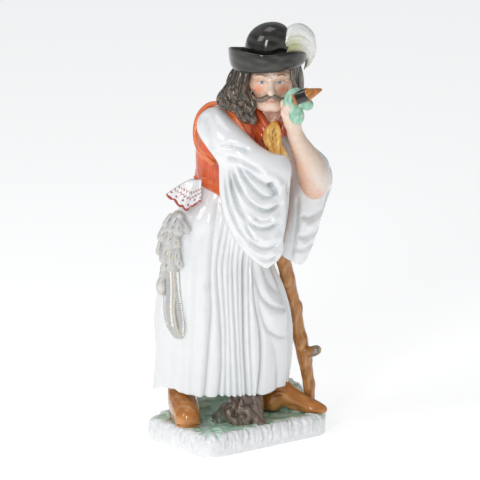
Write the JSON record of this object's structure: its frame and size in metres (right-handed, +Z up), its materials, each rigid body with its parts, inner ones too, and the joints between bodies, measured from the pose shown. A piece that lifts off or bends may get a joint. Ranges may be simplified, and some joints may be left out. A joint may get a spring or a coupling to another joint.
{
  "type": "porcelain figurine",
  "caption": "Glazed porcelain figurine of a herdsman in a wide pleated skirt and hanging sleeves, leaning on a stick with a pipe in a raised hand, on a small plinth.",
  "frame": {"origin": "middle of the plinth's flat underside", "axes": "+Z up through the figure, +X along the plinth's long side, -Y out of the plinth's front long side"},
  "size_m": [0.1149, 0.1021, 0.3024],
  "materials": {
    "white_porcelain": "gloss",
    "waistcoat_red": "gloss",
    "collar_red": "gloss",
    "scarf_ochre": "gloss",
    "skin": "gloss",
    "hair_brown": "gloss",
    "hat_black": "gloss",
    "plume_cream": "gloss",
    "boot_brown": "gloss",
    "stick_brown": "gloss",
    "rock_brown": "gloss",
    "grass_green": "gloss",
    "pouch_mint": "gloss",
    "pipe_black": "gloss",
    "pipe_orange": "gloss",
    "leather_grey": "gloss"
  },
  "bodies": {
    "root": {"plinth": "white_porcelain", "grass_tufts": "grass_green", "right_boot": "boot_brown", "left_boot": "boot_brown", "tree_stump": "rock_brown", "mound": "grass_green", "skirt": "white_porcelain", "skirt_floor": "white_porcelain", "torso": "waistcoat_red", "waistcoat_band": "waistcoat_red", "right_sleeve_arm": "white_porcelain", "right_sleeve_drape": "white_porcelain", "right_fist": "skin", "left_shoulder": "white_porcelain", "left_sleeve": "white_porcelain", "left_forearm": "skin", "walking_stick": "stick_brown", "stick_stub": "stick_brown", "hat_crown": "hat_black", "hat_brim": "hat_black", "pipe_rim": "pipe_orange", "pipe_barrel": "pipe_black", "pipe_lid": "pipe_orange", "head": "skin", "collar": "collar_red", "hair_right": "hair_brown", "hair_left": "hair_brown", "hair_back": "hair_brown", "plume": "plume_cream", "left_hand": "skin", "tobacco_pouch": "pouch_mint", "pouch_strap": "pouch_mint", "moustache": "hair_brown", "neckerchief": "scarf_ochre", "kerchief": "white_porcelain", "leather_tassels": "leather_grey", "whip_thong": "leather_grey", "powder_flask": "leather_grey"}
  },
  "joints": []
}
